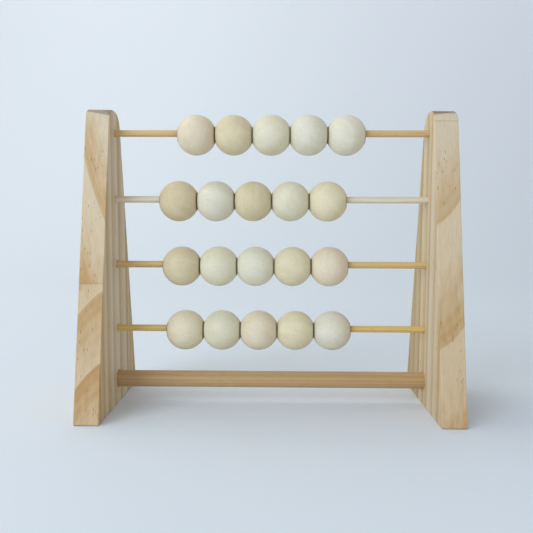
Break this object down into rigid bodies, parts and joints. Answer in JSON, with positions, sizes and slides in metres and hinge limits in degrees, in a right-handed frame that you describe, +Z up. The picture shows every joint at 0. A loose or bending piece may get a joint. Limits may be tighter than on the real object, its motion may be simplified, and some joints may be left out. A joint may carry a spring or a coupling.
{
  "type": "abacus",
  "caption": "Free-standing wooden counting frame: tapered side boards joined by thin rods and a foot stretcher, with loose round wooden beads that slide along the rods.",
  "frame": {"origin": "on the floor, midway between the two side boards and midway between their front and back feet", "axes": "+X along the rods towards the right-hand board, +Y towards the back, +Z up"},
  "size_m": [0.269, 0.1136, 0.222],
  "materials": {
    "pine_board": "sanded, bare pine with light and tan growth bands",
    "stretcher_wood": "smooth, bare orange-brown hardwood dowel",
    "rod_wood": "smooth, bare golden dowel",
    "bead_pale": "fine turned, bare, almost white wood",
    "bead_cream": "fine turned, bare cream wood",
    "bead_tan": "fine turned, bare pale tan wood"
  },
  "bodies": {
    "frame": {"left_side_board": "pine_board", "right_side_board": "pine_board", "bottom_stretcher": "stretcher_wood", "rod_row1": "rod_wood", "rod_row2": "rod_wood", "rod_row3": "rod_wood", "rod_row4": "rod_wood"},
    "row1_bead1": {"row1_bead1": "bead_cream"},
    "row1_bead2": {"row1_bead2": "bead_tan"},
    "row1_bead3": {"row1_bead3": "bead_pale"},
    "row1_bead4": {"row1_bead4": "bead_pale"},
    "row1_bead5": {"row1_bead5": "bead_pale"},
    "row2_bead1": {"row2_bead1": "bead_tan"},
    "row2_bead2": {"row2_bead2": "bead_pale"},
    "row2_bead3": {"row2_bead3": "bead_tan"},
    "row2_bead4": {"row2_bead4": "bead_pale"},
    "row2_bead5": {"row2_bead5": "bead_cream"},
    "row3_bead1": {"row3_bead1": "bead_tan"},
    "row3_bead2": {"row3_bead2": "bead_pale"},
    "row3_bead3": {"row3_bead3": "bead_pale"},
    "row3_bead4": {"row3_bead4": "bead_cream"},
    "row3_bead5": {"row3_bead5": "bead_cream"},
    "row4_bead1": {"row4_bead1": "bead_cream"},
    "row4_bead2": {"row4_bead2": "bead_pale"},
    "row4_bead3": {"row4_bead3": "bead_cream"},
    "row4_bead4": {"row4_bead4": "bead_cream"},
    "row4_bead5": {"row4_bead5": "bead_pale"}
  },
  "joints": [
    {"name": "row1_bead1_slide", "type": "slide", "parent": "row1_bead2", "child": "row1_bead1", "axis": [1, 0, 0], "range_m": [-0.01569, 0]},
    {"name": "row1_bead2_slide", "type": "slide", "parent": "row1_bead3", "child": "row1_bead2", "axis": [1, 0, 0], "range_m": [-0.01569, 0]},
    {"name": "row1_bead3_slide", "type": "slide", "parent": "frame", "child": "row1_bead3", "axis": [1, 0, 0], "range_m": [-0.01569, 0.01569]},
    {"name": "row1_bead4_slide", "type": "slide", "parent": "row1_bead3", "child": "row1_bead4", "axis": [1, 0, 0], "range_m": [0, 0.01569]},
    {"name": "row1_bead5_slide", "type": "slide", "parent": "row1_bead4", "child": "row1_bead5", "axis": [1, 0, 0], "range_m": [0, 0.01569]},
    {"name": "row2_bead1_slide", "type": "slide", "parent": "row2_bead2", "child": "row2_bead1", "axis": [1, 0, 0], "range_m": [-0.01123, 0]},
    {"name": "row2_bead2_slide", "type": "slide", "parent": "row2_bead3", "child": "row2_bead2", "axis": [1, 0, 0], "range_m": [-0.01123, 0]},
    {"name": "row2_bead3_slide", "type": "slide", "parent": "frame", "child": "row2_bead3", "axis": [1, 0, 0], "range_m": [-0.01123, 0.02016]},
    {"name": "row2_bead4_slide", "type": "slide", "parent": "row2_bead3", "child": "row2_bead4", "axis": [1, 0, 0], "range_m": [0, 0.02016]},
    {"name": "row2_bead5_slide", "type": "slide", "parent": "row2_bead4", "child": "row2_bead5", "axis": [1, 0, 0], "range_m": [0, 0.02016]},
    {"name": "row3_bead1_slide", "type": "slide", "parent": "row3_bead2", "child": "row3_bead1", "axis": [1, 0, 0], "range_m": [-0.01186, 0]},
    {"name": "row3_bead2_slide", "type": "slide", "parent": "row3_bead3", "child": "row3_bead2", "axis": [1, 0, 0], "range_m": [-0.01186, 0]},
    {"name": "row3_bead3_slide", "type": "slide", "parent": "frame", "child": "row3_bead3", "axis": [1, 0, 0], "range_m": [-0.01186, 0.01953]},
    {"name": "row3_bead4_slide", "type": "slide", "parent": "row3_bead3", "child": "row3_bead4", "axis": [1, 0, 0], "range_m": [0, 0.01953]},
    {"name": "row3_bead5_slide", "type": "slide", "parent": "row3_bead4", "child": "row3_bead5", "axis": [1, 0, 0], "range_m": [0, 0.01953]},
    {"name": "row4_bead1_slide", "type": "slide", "parent": "row4_bead2", "child": "row4_bead1", "axis": [1, 0, 0], "range_m": [-0.01269, 0]},
    {"name": "row4_bead2_slide", "type": "slide", "parent": "row4_bead3", "child": "row4_bead2", "axis": [1, 0, 0], "range_m": [-0.01269, 0]},
    {"name": "row4_bead3_slide", "type": "slide", "parent": "frame", "child": "row4_bead3", "axis": [1, 0, 0], "range_m": [-0.01269, 0.0187]},
    {"name": "row4_bead4_slide", "type": "slide", "parent": "row4_bead3", "child": "row4_bead4", "axis": [1, 0, 0], "range_m": [0, 0.0187]},
    {"name": "row4_bead5_slide", "type": "slide", "parent": "row4_bead4", "child": "row4_bead5", "axis": [1, 0, 0], "range_m": [0, 0.0187]}
  ]
}
